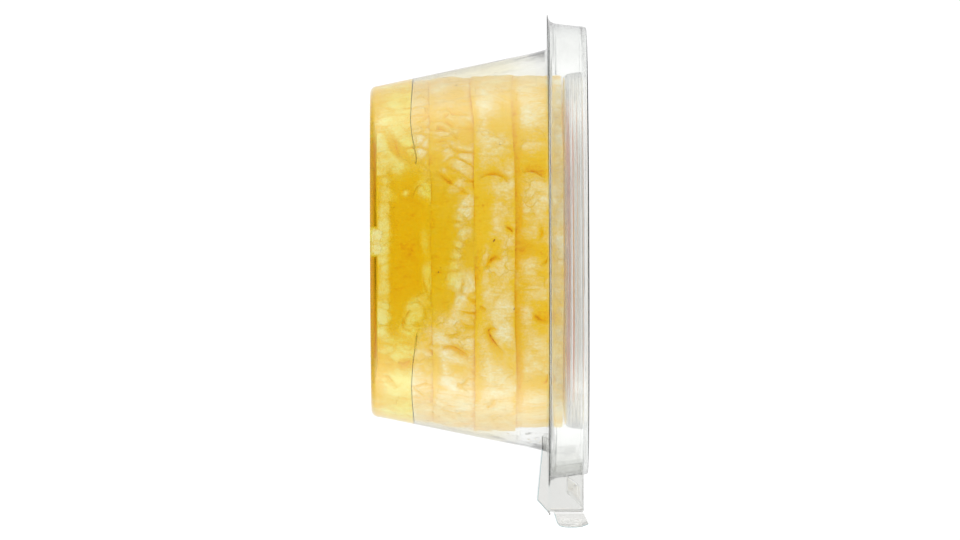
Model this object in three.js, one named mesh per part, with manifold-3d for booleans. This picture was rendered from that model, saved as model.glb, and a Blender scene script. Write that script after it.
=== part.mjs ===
// Round clear tub of pineapple rings in juice, shut with a clear press-on lid.
// Millimetres, +Z up. The tub stands on its base; the origin is on the floor,
// in the middle of the footprint, and the tear tab points along +X.

import * as THREE from 'three';
import { mergeVertices } from 'three/addons/utils/BufferGeometryUtils.js';
import Module from 'manifold-3d';

const wasm = await Module();
wasm.setup();

// ---- driving dimensions -------------------------------------------------

const SHEET = 0.5;            // thickness of the formed plastic sheet
const GAP = 0.3;              // clearance between pieces that touch
const SIDES = 48;             // facets round a turned piece

// tub
const BASE_RADIUS = 47.55;    // outer wall produced down to the floor
const WALL_SLOPE = 0.208;     // outward lean of the wall, per mm of height
const BASE_CORNER = 2.2;      // rounding between base and wall
const FOOT_INNER_RADIUS = 38.5;
const PANEL_RADIUS = 35;      // raised middle of the base
const PANEL_LIFT = 2;

// rim, where the two flanges meet
const FLANGE_RADIUS = 68.4;
const TUB_FLANGE_TOP = 51.2;
const LID_FLANGE_BOTTOM = TUB_FLANGE_TOP + GAP;

// lid
const LID_TOP = 62.8;
const SKIRT_FOOT_RADIUS = 65.8;
const SKIRT_TOP_RADIUS = 64.9;
const SKIRT_FOOT = 53.9;      // height where the flare meets the skirt
const FLARE = 1.6;            // how far the flare spreads below the skirt
const FLARE_BEND = { spread: 0.4, drop: 1.2 };
const LID_CORNER = 1.5;
const RECESS_RADIUS = 51.8;
const RECESS_STEP = 0.35;     // how far each ledge of the recess wall steps in
const RECESS_LEDGES = [61.2, 59.6, 58.3];
const RECESS_CORNER = 1;      // flat left off at the top of the recess wall
const DISH_RADIUS = 49.4;     // edge of the dished recess floor
const DISH_EDGE = 56.0;       // top of the floor at its edge
const DISH_MIDDLE = 54.5;     // top of the floor on the axis
const DISH_RINGS = 3;         // facets from the axis to the edge

// label in the recess
const LABEL_RADIUS = 44;
const LABEL_THICKNESS = 0.3;

// tear tab: a block on the lid, a trough on the tub and the lip to pull
const TAB_HALF_WIDTH = 22;
const TAB_OUTER = 75.7;
const TAB_TOP = 61.3;
const TAB_BORDER = 1.4;       // flange showing past the sides of the block
const TAB_FLANGE_END = 76.2;
const TROUGH_DEPTH_OUT = 47.9;   // height of the trough's bottom, far end
const TROUGH_DEPTH_IN = 49.3;    // the same, where it leaves the wall
const TROUGH_FLOOR_END = 72;
const LIP_REACH = 79.9;
const LIP_TOP = 62.7;
const LIP_FOOT = 52.8;
const LIP_HALF_WIDTH = 20.5;
const LIP_BEND = 3.4;         // height of the curve at the lip's foot and at its tip
const LIP_HEEL = { back: 0.6, rise: 1.2 };
const LIP_TIP_BACK = 0.9;

// fruit
const CORE_RADIUS = 14.5;
const RINGS = [               // heights, free radius of the slice, turn of its eyes
  { bottom: 3.4, top: 17.45, radius: 49.0, turn: 4 },
  { bottom: 17.75, top: 29.55, radius: 50.6, turn: -4 },
  { bottom: 29.85, top: 41.55, radius: 51.6, turn: 14 },
  { bottom: 41.85, top: 53.7, radius: 51.0, turn: 12 },
];
const WALL_ROOM = 1.2;        // least room kept between fruit and wall
const EYES = 14;              // eye sockets round a slice
const STEPS_PER_EYE = 4;
const EYE_DEPTH = 2.2;
const EYE_HALF_ANGLE = 7;     // degrees
const EYE_LEVELS = [0.75, 0.25];   // heights of the eyes, in turn, as shares of the slice
const EYE_REACH = 0.75;       // how far an eye reaches up and down, as a share too
const EDGE_ROUND = 1.3;       // rounding of a slice's cut edges
const WAVER = 0.45;           // unevenness of a slice's outline

const JUICE_LEVEL = 11.8;
const LOOSE_PIECE = { x: -2.5, y: -42.4, halfLength: 4.6, halfDepth: 2.6, bottom: 0.9, top: 3.05 };
const LOOSE_LUMP = 0.12;      // unevenness of the loose piece, as a share of its size

// the footprint runs from the flange at -X to the lip at +X
const AXIS_X = (FLANGE_RADIUS - LIP_REACH) / 2;

// ---- shape helpers ------------------------------------------------------

const degrees = (angle) => (angle * Math.PI) / 180;

const wallRadius = (z) => BASE_RADIUS + WALL_SLOPE * z;

// points on an arc about (r, z), angles in degrees from +r towards +z
function arc(r, z, radius, from, to, steps = 2) {
  return Array.from({ length: steps + 1 }, (_, i) => {
    const angle = degrees(from + ((to - from) * i) / steps);
    return [r + radius * Math.cos(angle), z + radius * Math.sin(angle)];
  });
}

// a profile of [r, z] points turned about the vertical axis
function turned(profile) {
  const points = profile.map(([r, z]) => new THREE.Vector2(r, z));
  return new THREE.LatheGeometry(points, SIDES).rotateX(Math.PI / 2);
}

// an outline of [x, z] points carried from y = -halfWidth to +halfWidth
function slab(outline, halfWidth) {
  const shape = new THREE.Shape(outline.map(([x, z]) => new THREE.Vector2(x, z)));
  return new THREE.ExtrudeGeometry(shape, { depth: 2 * halfWidth, bevelEnabled: false })
    .translate(0, 0, -halfWidth)
    .rotateX(Math.PI / 2);
}

// a closed surface as a solid that can be joined and cut
function solid(geometry) {
  const bare = geometry.clone();
  bare.deleteAttribute('normal');
  bare.deleteAttribute('uv');
  const merged = mergeVertices(bare, 1e-5);
  const index = merged.index.array;
  const kept = [];
  for (let i = 0; i < index.length; i += 3) {
    const [a, b, c] = index.subarray(i, i + 3);
    if (a !== b && b !== c && c !== a) kept.push(a, b, c);
  }
  const vertProperties = new Float32Array(merged.attributes.position.array);
  const triVerts = new Uint32Array(kept);
  return new wasm.Manifold(new wasm.Mesh({ numProp: 3, vertProperties, triVerts }));
}

function surface(body) {
  const mesh = body.getMesh();
  const geometry = new THREE.BufferGeometry();
  geometry.setAttribute('position', new THREE.BufferAttribute(mesh.vertProperties, 3));
  geometry.setIndex(new THREE.BufferAttribute(mesh.triVerts, 1));
  return geometry;
}

// ---- tub ----------------------------------------------------------------

// the outside of the tub from the middle of its base to the flange, moved in by inset
function tubOutside(inset) {
  const corner = BASE_CORNER - inset;
  const cornerRadius = wallRadius(BASE_CORNER) - BASE_CORNER;
  const flangeUnderside = TUB_FLANGE_TOP - SHEET;
  return [
    [0, PANEL_LIFT + inset],
    [PANEL_RADIUS + inset / 2, PANEL_LIFT + inset],
    [FOOT_INNER_RADIUS + inset / 2, inset],
    ...arc(cornerRadius, BASE_CORNER, corner, -90, -12),
    [wallRadius(flangeUnderside - SHEET) - inset, flangeUnderside - SHEET + inset],
    [wallRadius(flangeUnderside) + SHEET - inset, flangeUnderside + inset],
  ];
}

function tubGeometry() {
  const flangeBottom = TUB_FLANGE_TOP - SHEET;
  const bowl = solid(turned([
    ...tubOutside(0),
    [FLANGE_RADIUS, flangeBottom],
    [FLANGE_RADIUS, TUB_FLANGE_TOP],
    ...tubOutside(SHEET).reverse(),
  ]));
  const core = solid(turned([
    ...tubOutside(SHEET / 2).slice(0, -1),
    [wallRadius(TUB_FLANGE_TOP), TUB_FLANGE_TOP + SHEET],
    [0, TUB_FLANGE_TOP + SHEET],
  ]));

  const inner = BASE_RADIUS;
  const plate = solid(slab([
    [inner, flangeBottom],
    [TAB_FLANGE_END, flangeBottom],
    [TAB_FLANGE_END, TUB_FLANGE_TOP],
    [inner, TUB_FLANGE_TOP],
  ], TAB_HALF_WIDTH + TAB_BORDER));
  const troughOutline = (inset) => [
    [inner, TROUGH_DEPTH_IN + inset],
    [wallRadius(TROUGH_DEPTH_IN), TROUGH_DEPTH_IN + inset],
    [TROUGH_FLOOR_END - inset / 2, TROUGH_DEPTH_OUT + inset],
    [TAB_OUTER - inset, flangeBottom],
    [TAB_OUTER - inset, TUB_FLANGE_TOP + inset],
    [inner, TUB_FLANGE_TOP + inset],
  ];
  const trough = solid(slab(troughOutline(0), TAB_HALF_WIDTH));
  const hollow = solid(slab(troughOutline(SHEET), TAB_HALF_WIDTH - SHEET));
  const tab = plate.add(trough).subtract(hollow).subtract(core);
  return surface(bowl.add(tab));
}

// ---- lid ----------------------------------------------------------------

// the top of the dished floor, from its edge to the axis
function dish(drop, radius = DISH_RADIUS) {
  return Array.from({ length: DISH_RINGS + 1 }, (_, i) => {
    const r = radius * (1 - i / DISH_RINGS);
    return [r, dishHeight(r) - drop];
  });
}

function dishHeight(r) {
  return DISH_MIDDLE + (DISH_EDGE - DISH_MIDDLE) * (r / DISH_RADIUS) ** 2;
}

// the outside of the lid from the foot of its flare to the axis, moved in by inset
function lidOutside(inset) {
  const ledges = RECESS_LEDGES.flatMap((z, i) => [
    [RECESS_RADIUS - i * RECESS_STEP + inset, z - inset],
    [RECESS_RADIUS - (i + 1) * RECESS_STEP + inset, z - inset - RECESS_STEP],
  ]);
  return [
    [SKIRT_FOOT_RADIUS + FLARE - inset, LID_FLANGE_BOTTOM + SHEET - inset],
    [SKIRT_FOOT_RADIUS + FLARE_BEND.spread - inset, SKIRT_FOOT - FLARE_BEND.drop - inset / 2],
    [SKIRT_FOOT_RADIUS - inset, SKIRT_FOOT],
    ...arc(SKIRT_TOP_RADIUS - LID_CORNER, LID_TOP - LID_CORNER, LID_CORNER - inset, 4, 90),
    [RECESS_RADIUS + RECESS_CORNER, LID_TOP - inset],
    ...ledges,
    ...dish(inset),
  ];
}

function lidGeometry() {
  const flangeTop = LID_FLANGE_BOTTOM + SHEET;
  const cap = solid(turned([
    [FLANGE_RADIUS, LID_FLANGE_BOTTOM],
    [FLANGE_RADIUS, flangeTop],
    ...lidOutside(0),
    ...lidOutside(SHEET).reverse(),
    [FLANGE_RADIUS, LID_FLANGE_BOTTOM],
  ]));
  const inside = solid(turned([
    [0, LID_FLANGE_BOTTOM - SHEET],
    [SKIRT_FOOT_RADIUS + FLARE_BEND.spread, LID_FLANGE_BOTTOM - SHEET],
    ...lidOutside(SHEET / 2).slice(0, 6),
    [0, LID_TOP - SHEET / 2],
  ]));

  const inner = RECESS_RADIUS;
  const block = (inset, floor) => solid(slab([
    [inner, floor],
    [TAB_OUTER - inset, floor],
    [TAB_OUTER - inset, TAB_TOP - inset],
    [inner, TAB_TOP - inset],
  ], TAB_HALF_WIDTH - inset));
  const border = solid(slab([
    [inner, LID_FLANGE_BOTTOM],
    [TAB_FLANGE_END, LID_FLANGE_BOTTOM],
    [TAB_FLANGE_END, flangeTop],
    [inner, flangeTop],
  ], TAB_HALF_WIDTH + TAB_BORDER));
  const tab = block(0, LID_FLANGE_BOTTOM)
    .add(border)
    .subtract(block(SHEET, LID_FLANGE_BOTTOM - SHEET))
    .subtract(inside);
  return surface(cap.add(tab));
}

// ---- tear lip -----------------------------------------------------------

// a curved lip that stands off the end of the block, closed at both ends
function lipGeometry() {
  const root = TAB_OUTER + GAP + SHEET;
  const outline = (inset) => [
    [root, LIP_FOOT + inset],
    [LIP_REACH - LIP_HEEL.back - inset, LIP_FOOT + LIP_HEEL.rise + inset / 2],
    [LIP_REACH - inset, LIP_FOOT + LIP_BEND],
    [LIP_REACH - inset, LIP_TOP - LIP_BEND],
  ];
  const lip = solid(slab([
    ...outline(0),
    [LIP_REACH - LIP_TIP_BACK, LIP_TOP],
    [root, TAB_TOP],
  ], LIP_HALF_WIDTH));
  const scoop = solid(slab([
    ...outline(SHEET),
    [LIP_REACH - LIP_TIP_BACK - SHEET, LIP_TOP + SHEET],
    [root - SHEET, LIP_TOP + SHEET],
    [root - SHEET, LIP_FOOT + SHEET],
  ], LIP_HALF_WIDTH - SHEET));
  return surface(lip.subtract(scoop));
}

// ---- label --------------------------------------------------------------

function labelGeometry() {
  const underside = dish(-GAP, LABEL_RADIUS).reverse();
  const top = dish(-GAP - LABEL_THICKNESS, LABEL_RADIUS);
  return turned([...underside, ...top]);
}

// ---- fruit --------------------------------------------------------------

// how deep the nearest eye socket bites at this angle, 0 to 1
function eyeBite(angle, level, turn) {
  const pitch = 360 / EYES;
  const eye = Math.round((angle - turn) / pitch);
  const offset = Math.abs(angle - turn - eye * pitch) / EYE_HALF_ANGLE;
  const row = EYE_LEVELS[Math.abs(eye) % 2];
  const near = 1 - Math.min(1, Math.abs(level - row) / EYE_REACH);
  return Math.max(0, 1 - offset) * near;
}

// a slice with a cored middle; swell grows it all over, for the room it needs
function sliceGeometry({ bottom, top, radius, turn }, swell = 0) {
  const height = top - bottom;
  const outer = (angle, level) => {
    const z = bottom + level * height;
    const free = Math.min(radius, wallRadius(z) - SHEET - WALL_ROOM);
    const waver = WAVER * (Math.sin(degrees(3 * angle + 40 * turn)) - 1);
    return free + waver - EYE_DEPTH * eyeBite(angle, level, turn) + swell;
  };
  const rounded = EDGE_ROUND / height;
  const core = (angle) => CORE_RADIUS + WAVER * Math.sin(degrees(2 * angle + 25 * turn)) - swell;
  const section = (angle) => [
    [core(angle) + EDGE_ROUND / 2, bottom - swell],
    [outer(angle, 0) - EDGE_ROUND, bottom - swell],
    [outer(angle, rounded), bottom + EDGE_ROUND],
    [outer(angle, 0.5), bottom + height / 2],
    [outer(angle, 1 - rounded), top - EDGE_ROUND],
    [outer(angle, 1) - EDGE_ROUND, top + swell],
    [core(angle) + EDGE_ROUND / 2, top + swell],
    [core(angle), bottom + height / 2],
  ];

  const steps = EYES * STEPS_PER_EYE;
  const positions = [];
  for (let i = 0; i < steps; i += 1) {
    const angle = turn + (360 * i) / steps;
    for (const [r, z] of section(angle)) {
      positions.push(r * Math.cos(degrees(angle)), r * Math.sin(degrees(angle)), z);
    }
  }
  const rim = positions.length / 3 / steps;
  const index = [];
  for (let i = 0; i < steps; i += 1) {
    for (let j = 0; j < rim; j += 1) {
      const here = i * rim + j;
      const up = i * rim + ((j + 1) % rim);
      const next = ((i + 1) % steps) * rim + j;
      const nextUp = ((i + 1) % steps) * rim + ((j + 1) % rim);
      index.push(here, next, nextUp, here, nextUp, up);
    }
  }
  const geometry = new THREE.BufferGeometry();
  geometry.setAttribute('position', new THREE.Float32BufferAttribute(positions, 3));
  geometry.setIndex(index);
  return geometry;
}

// a scrap of torn fruit lying in the channel round the base
function looseGeometry(swell = 0) {
  const { x, y, halfLength, halfDepth, bottom, top } = LOOSE_PIECE;
  const halfHeight = (top - bottom) / 2;
  const scrap = new THREE.SphereGeometry(1, 12, 8);
  const point = new THREE.Vector3();
  const { position } = scrap.attributes;
  for (let i = 0; i < position.count; i += 1) {
    point.fromBufferAttribute(position, i);
    const lump = 1 - LOOSE_LUMP * (1 + Math.sin(5 * point.x + 2) * Math.cos(4 * point.y));
    position.setXYZ(i, point.x * lump, point.y * lump, point.z);
  }
  return scrap
    .scale(halfLength + swell, halfDepth + swell, halfHeight + swell)
    .translate(x, y, bottom + halfHeight);
}

// juice up to its level, round the lowest slice and the scrap under it
function juiceGeometry() {
  const room = SHEET + GAP;
  const pool = solid(turned([
    ...tubOutside(room).slice(0, -2),
    [wallRadius(JUICE_LEVEL) - room, JUICE_LEVEL],
    [0, JUICE_LEVEL],
  ]));
  const lowest = solid(sliceGeometry(RINGS[0], GAP));
  return surface(pool.subtract(lowest).subtract(solid(looseGeometry(GAP))));
}

// ---- the object ---------------------------------------------------------

function finish(color, roughness, opacity = 1) {
  return new THREE.MeshStandardMaterial({
    color, roughness, metalness: 0, opacity, transparent: opacity < 1,
  });
}

const clearSheet = finish(0xe4eae8, 0.08, 0.25);
const flesh = finish(0xf3d68a, 0.45);
const juice = finish(0xe6b80e, 0.05, 0.7);
const print = finish(0xd9775c, 0.5);

const tub = new THREE.Group();
tub.position.x = AXIS_X;

function place(name, geometry, material) {
  const mesh = new THREE.Mesh(geometry, material);
  mesh.name = name;
  tub.add(mesh);
}

place('tub', tubGeometry(), clearSheet);
place('lid', lidGeometry(), clearSheet);
place('tear_lip', lipGeometry(), clearSheet);
place('label', labelGeometry(), print);
RINGS.forEach((slice, i) => place(`pineapple_ring_${i + 1}`, sliceGeometry(slice), flesh));
place('loose_piece', looseGeometry(), flesh);
place('juice', juiceGeometry(), juice);

const group = new THREE.Group();
group.add(tub);

export default group;
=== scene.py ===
"""Looks for a shut, clear tub of pineapple rings in juice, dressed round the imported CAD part.

Sizes are millimetres about the tub's own axis; new_object() takes them into the frame, in metres.
"""
import math
from collections import namedtuple

import bmesh
import bpy
import numpy as np
from mathutils import Euler, Matrix, Vector


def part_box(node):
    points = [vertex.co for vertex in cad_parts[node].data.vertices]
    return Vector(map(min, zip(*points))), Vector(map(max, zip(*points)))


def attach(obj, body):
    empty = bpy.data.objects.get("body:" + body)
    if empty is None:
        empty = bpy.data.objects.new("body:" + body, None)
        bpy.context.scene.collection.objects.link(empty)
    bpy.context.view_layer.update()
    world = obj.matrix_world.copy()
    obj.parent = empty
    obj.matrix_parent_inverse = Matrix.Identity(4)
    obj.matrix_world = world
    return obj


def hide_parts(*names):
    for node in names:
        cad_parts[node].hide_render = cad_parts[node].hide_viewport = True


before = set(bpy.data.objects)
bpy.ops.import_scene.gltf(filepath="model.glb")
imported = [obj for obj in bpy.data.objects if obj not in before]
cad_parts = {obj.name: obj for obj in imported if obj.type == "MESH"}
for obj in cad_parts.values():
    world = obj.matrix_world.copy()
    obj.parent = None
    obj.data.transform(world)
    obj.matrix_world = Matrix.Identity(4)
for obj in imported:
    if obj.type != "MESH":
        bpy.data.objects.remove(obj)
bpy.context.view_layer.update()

MM = 0.001
ROOT = "root"
LABEL_LOW, LABEL_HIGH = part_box("label")
AXIS_X = (LABEL_LOW.x + LABEL_HIGH.x) / 2

# ---- sizes ----

SHEET = 0.5                 # plastic sheet
EDGE = 0.17                 # the sheet where it thins out in the rim
DRAWN = 0.14                # the sheet where it is drawn deep, in the recess wall and the tear tab
SIDES = 288                 # facets round a turned piece

BASE_RADIUS = 47.55
WALL_SLOPE = 0.208
BASE_CORNER = 2.2
FOOT_INNER_RADIUS = 38.5
PANEL_RADIUS = 35.0
PANEL_LIFT = 2.0

FLANGE_RADIUS = 68.4
TUB_FLANGE_TOP = 51.42
LID_FLANGE_BOTTOM = 51.46
LID_FLANGE_TOP = LID_FLANGE_BOTTOM + EDGE
LID_TOP = 62.8
SKIRT_FOOT_RADIUS = 65.8
SKIRT_TOP_RADIUS = 64.9
SKIRT_FOOT = 53.9
LID_CORNER = 0.75
GROOVE_HALF = 0.13
# fine grooves round the skirt, as (z, depth)
GROOVES = ((57.9, 0.012), (58.7, 0.015), (59.4, 0.02), (60.2, 0.03), (61.1, 0.05))
RECESS_RADIUS = 51.8
RECESS_STEP = 0.18
RECESS_LEDGES = (61.2, 59.6, 58.3)
RECESS_FOOT = 1.9           # height over which the recess wall rounds into the floor
DISH_RADIUS = 49.4
DISH_EDGE = 56.0
DISH_MIDDLE = 54.5
DISH_RINGS = 14

LABEL_RADIUS = 44.0
LABEL_GAP = 0.3
LABEL_THICKNESS = 0.3

TAB_HALF_WIDTH = 22.0
TAB_OUTER = 75.7
TAB_TOP = 61.3
TAB_BORDER = 1.4
TAB_FLANGE_END = 76.2
TROUGH_DEPTH_OUT = 47.9
TROUGH_DEPTH_IN = 49.3
TROUGH_FLOOR_END = 72.0
LIP_REACH = 79.9
LIP_TOP = 62.7
LIP_FOOT = 52.8
LIP_HALF_WIDTH = 20.5
LIP_ROOT = 75.9

CORE_RADIUS = 14.5
JUICE_LEVEL = 11.8


def wall_radius(z):
    """Outer radius of the tub wall at a height."""
    return BASE_RADIUS + WALL_SLOPE * z


# ---- mesh helpers ----

def turns(count):
    """Angles evenly round the axis, as a column."""
    return np.linspace(0, 2 * np.pi, count, endpoint=False)[:, None]


def around_axis(r, angle, z):
    """Points at radii, angles and heights about the axis."""
    return np.stack(np.broadcast_arrays(r * np.cos(angle), r * np.sin(angle), z), -1)


def new_object(name, points, faces, sharp=40.0, tone=None):
    """A mesh piece from points in millimetres, with outward faces and smooth shading."""
    mesh = bpy.data.meshes.new(name)
    placed = np.reshape(points, (-1, 3)) * MM + (AXIS_X, 0.0, 0.0)
    mesh.from_pydata(placed.tolist(), [], faces)
    if tone is not None:
        layer = mesh.attributes.new("tone", "FLOAT", "POINT")
        layer.data.foreach_set("value", np.clip(tone, 0, 1).ravel().astype(np.float32))
    work = bmesh.new()
    work.from_mesh(mesh)
    bmesh.ops.remove_doubles(work, verts=work.verts, dist=0.001 * MM)
    bmesh.ops.dissolve_degenerate(work, edges=work.edges, dist=0.0005 * MM)
    bmesh.ops.recalc_face_normals(work, faces=work.faces)
    work.to_mesh(mesh)
    work.free()
    mesh.shade_smooth()
    mesh.set_sharp_from_angle(angle=math.radians(sharp))
    piece = bpy.data.objects.new(name, mesh)
    bpy.context.scene.collection.objects.link(piece)
    return piece


def grid_faces(columns, rows, wrap_rows=True):
    """Quads of a grid that wraps round its columns and, as asked, its rows."""
    last = rows if wrap_rows else rows - 1
    i, j = np.meshgrid(np.arange(columns), np.arange(last), indexing="ij")
    next_i = (i + 1) % columns
    next_j = (j + 1) % rows
    quads = np.stack([i * rows + j, next_i * rows + j, next_i * rows + next_j, i * rows + next_j], -1)
    return quads.reshape(-1, 4).tolist()


def turned(name, profile):
    """A profile of (radius, height) points turned about the axis."""
    r, z = np.array(profile, float).T
    closed = profile[0][0] > 0 or profile[-1][0] > 0
    return new_object(name, around_axis(r, turns(SIDES), z), grid_faces(SIDES, len(r), closed))


def arc(r, z, radius, start, stop, steps):
    """Points on an arc, angles in degrees from outward towards up."""
    angles = np.radians(np.linspace(start, stop, steps + 1))
    return [(r + radius * math.cos(a), z + radius * math.sin(a)) for a in angles]


def lofts(name, bodies, sharp=40.0):
    """A piece of closed bodies, each of which runs through rings of points with the same count."""
    points, faces = [], []
    for rings in bodies:
        first, count = len(points), len(rings[0])
        last = first + (len(rings) - 1) * count
        for ring in rings:
            points += ring
        faces += [list(range(first, first + count)), list(range(last + count - 1, last - 1, -1))]
        for i in range(first, last, count):
            for k in range(count):
                after = (k + 1) % count
                faces.append([i + k, i + after, i + count + after, i + count + k])
    return new_object(name, points, faces, sharp)


def slab(name, outline, half_width):
    """An outline of (x, z) points carried across the tub."""
    return lofts(name, [[[(x, y, z) for x, z in outline] for y in (-half_width, half_width)]])


def modify(piece, kind, **settings):
    """Gives a piece a modifier and keeps the mesh that comes of it."""
    step = piece.modifiers.new("step", kind)
    for key, value in settings.items():
        setattr(step, key, value)
    bpy.context.view_layer.update()
    graph = bpy.context.evaluated_depsgraph_get()
    result = bpy.data.meshes.new_from_object(piece.evaluated_get(graph))
    piece.modifiers.clear()
    piece.data = result


def combine(piece, *others, operation="UNION"):
    """Joins the others to a piece, or cuts them from it."""
    for other in others:
        modify(piece, "BOOLEAN", operation=operation, solver="EXACT", object=other)
        bpy.data.objects.remove(other)
    return piece


def even_shading(piece):
    """Large flat faces keep their own direction, and only the rounded edges shade round."""
    piece.data.set_sharp_from_angle(angle=math.radians(35))
    modify(piece, "WEIGHTED_NORMAL", keep_sharp=True)
    return piece


def finish_piece(piece, material, slot, *nodes):
    """Gives a piece its material and its place in the frame."""
    piece.data.materials.clear()
    piece.data.materials.append(material)
    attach(piece, ROOT)
    if nodes:
        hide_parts(*nodes)


# ---- noise ----

LATTICE_TURN = np.array(Euler((0.6, 0.9, 0.4)).to_matrix())    # so that the cells never line up with the tub


def lattice_value(cell, seed):
    """A repeatable value from -1 to 1 for each whole-number cell."""
    mixed = (cell[..., 0] * 374761393 + cell[..., 1] * 668265263 + cell[..., 2] * 1274126177
             + seed * 362437) & 0xFFFFFFFF
    mixed = ((mixed ^ (mixed >> 13)) * 1103515245) & 0xFFFFFFFF
    mixed = ((mixed ^ (mixed >> 16)) * 69069) & 0xFFFFFFFF
    return (mixed ^ (mixed >> 15)) % 65536 / 32767.5 - 1.0


def noise(points, seed=0):
    """Smooth noise from -1 to 1 with features one unit across."""
    points = points @ LATTICE_TURN
    low = np.floor(points).astype(np.int64)
    part = points - low
    ease = part * part * (3 - 2 * part)
    total = np.zeros(points.shape[:-1])
    for corner in np.ndindex(2, 2, 2):
        weight = np.prod(np.where(corner, ease, 1 - ease), axis=-1)
        total += weight * lattice_value(low + np.array(corner), seed)
    return total


def layered(points, layers, seed=0):
    """Noise with finer layers, each half as strong."""
    total = sum(noise(points * 2 ** k, seed + k) / 2 ** k for k in range(layers))
    return total / (2 - 2 ** (1 - layers))


def ease_between(value, low, high):
    """0 at low, 1 at high, and a smooth step between."""
    t = np.clip((value - low) / (high - low), 0, 1)
    return t * t * (3 - 2 * t)


# ---- materials ----

WHITE = (1.0, 1.0, 1.0, 1.0)


class Graph:
    """A material's or world's nodes, built by name."""

    def __init__(self, owner):
        owner.use_nodes = True
        self.owner = owner
        self.tree = owner.node_tree
        self.tree.nodes.clear()

    def add(self, kind, inputs=None, **settings):
        node = self.tree.nodes.new("ShaderNode" + kind)
        for key, value in settings.items():
            setattr(node, key, value)
        for key, value in (inputs or {}).items():
            if isinstance(value, bpy.types.NodeSocket):
                self.tree.links.new(value, node.inputs[key])
            else:
                node.inputs[key].default_value = value
        return node

    def get(self, kind, inputs=None, **settings):
        """The first output of a new node."""
        return self.add(kind, inputs, **settings).outputs[0]

    def math(self, operation, a, b=0.0, c=0.0, clamp=False):
        return self.get("Math", {0: a, 1: b, 2: c}, operation=operation, use_clamp=clamp)

    def plus(self, a, b, clamp=False):
        return self.math("ADD", a, b, clamp=clamp)

    def times(self, a, b):
        return self.math("MULTIPLY", a, b)

    def vector(self, operation, a, b):
        return self.get("VectorMath", {0: a, 1: b}, operation=operation)

    def along(self, vector):
        """The x, y and z of a vector."""
        return self.add("SeparateXYZ", {0: vector}).outputs

    def colours(self, share, a, b):
        return self.add("Mix", {0: share, 6: a, 7: b}, data_type="RGBA").outputs[2]

    def shaders(self, share, a, b):
        return self.get("MixShader", {0: share, 1: a, 2: b})

    def noise(self, where, scale, detail=3.0, roughness=0.5):
        return self.add("TexNoise", {
            "Vector": where, "Scale": scale, "Detail": detail, "Roughness": roughness}).outputs["Fac"]

    def remap(self, value, low, high, to_low=0.0, to_high=1.0):
        return self.get("MapRange", {
            "Value": value, "From Min": low, "From Max": high, "To Min": to_low, "To Max": to_high},
            interpolation_type="SMOOTHSTEP")

    def ramp(self, value, stops):
        """The colour at a value among stops of (place, colour)."""
        node = self.add("ValToRGB", {"Fac": value})
        elements = node.color_ramp.elements
        while len(elements) < len(stops):
            elements.new(0.5)
        for element, (place, colour) in zip(elements, stops):
            element.position = place
            element.color = colour
        return node.outputs[0]

    def bump(self, height, strength, distance):
        return self.get("Bump", {"Height": height, "Strength": strength, "Distance": distance})

    def position(self):
        return self.add("TexCoord").outputs["Object"]

    def tone(self):
        return self.add("Attribute", attribute_name="tone").outputs["Fac"]

    def finished(self, **inputs):
        """The material or world, with its output joined up."""
        self.add("OutputWorld" if isinstance(self.owner, bpy.types.World) else "OutputMaterial", inputs)
        return self.owner


def new_material(name):
    return Graph(bpy.data.materials.new(name))


def rgb(red, green, blue):
    """A display colour, 0 to 255, as the linear colour that nodes take."""
    levels = [c / 255 for c in (red, green, blue)]
    return tuple(c / 12.92 if c <= 0.04045 else ((c + 0.055) / 1.055) ** 2.4 for c in levels) + (1.0,)


def let_light_in(graph, surface, tint):
    """Light on its way to and from what is behind a clear wall passes straight through, tinted."""
    path = graph.add("LightPath").outputs
    scattered = graph.math("GREATER_THAN", path["Diffuse Depth"], 0.5)
    straight = graph.math("MAXIMUM", path["Is Shadow Ray"], scattered)
    return graph.shaders(straight, surface, graph.get("BsdfTransparent", {"Color": tint}))


def only_mirrored(graph):
    """1 where a polished surface mirrors what the ray meets, and no dull one has scattered it, else 0."""
    path = graph.add("LightPath").outputs
    mirrored = graph.math("GREATER_THAN", path["Glossy Depth"], 0.5)
    return graph.times(mirrored, graph.math("LESS_THAN", path["Diffuse Depth"], 0.5))


SHADE_VEIL = 0.18                 # share of the painted shade veil, a grey diffuse film, on each face of the lid's sheet
SHADE_VEIL_COLOUR = (0.42, 0.42, 0.41, 1.0)
SHADE_VEIL_HEIGHTS = (0.0519, 0.0525, 0.0560, 0.0588)     # where it starts, is full, fades and ends
SHADE_VEIL_FRONT = (-0.052, -0.038)                       # where it is full and where it ends, along Y


def shade_veiled(graph, surface):
    """Painted shade: a faint grey veil low on the front of the lid, over the rim of the top slice, where the
    label shades the fruit.
    """
    _, y, z = graph.along(graph.position())
    low = graph.times(graph.remap(z, *SHADE_VEIL_HEIGHTS[:2]), graph.remap(z, *SHADE_VEIL_HEIGHTS[2:], 1.0, 0.0))
    front = graph.remap(y, *SHADE_VEIL_FRONT, SHADE_VEIL, 0.0)
    patches = graph.remap(graph.noise(graph.position(), 140.0, 2.0), 0.3, 0.7, 0.7, 1.3)
    share = graph.times(graph.times(low, front), patches)
    return graph.shaders(share, surface, graph.get("BsdfDiffuse", {"Color": SHADE_VEIL_COLOUR}))


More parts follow.
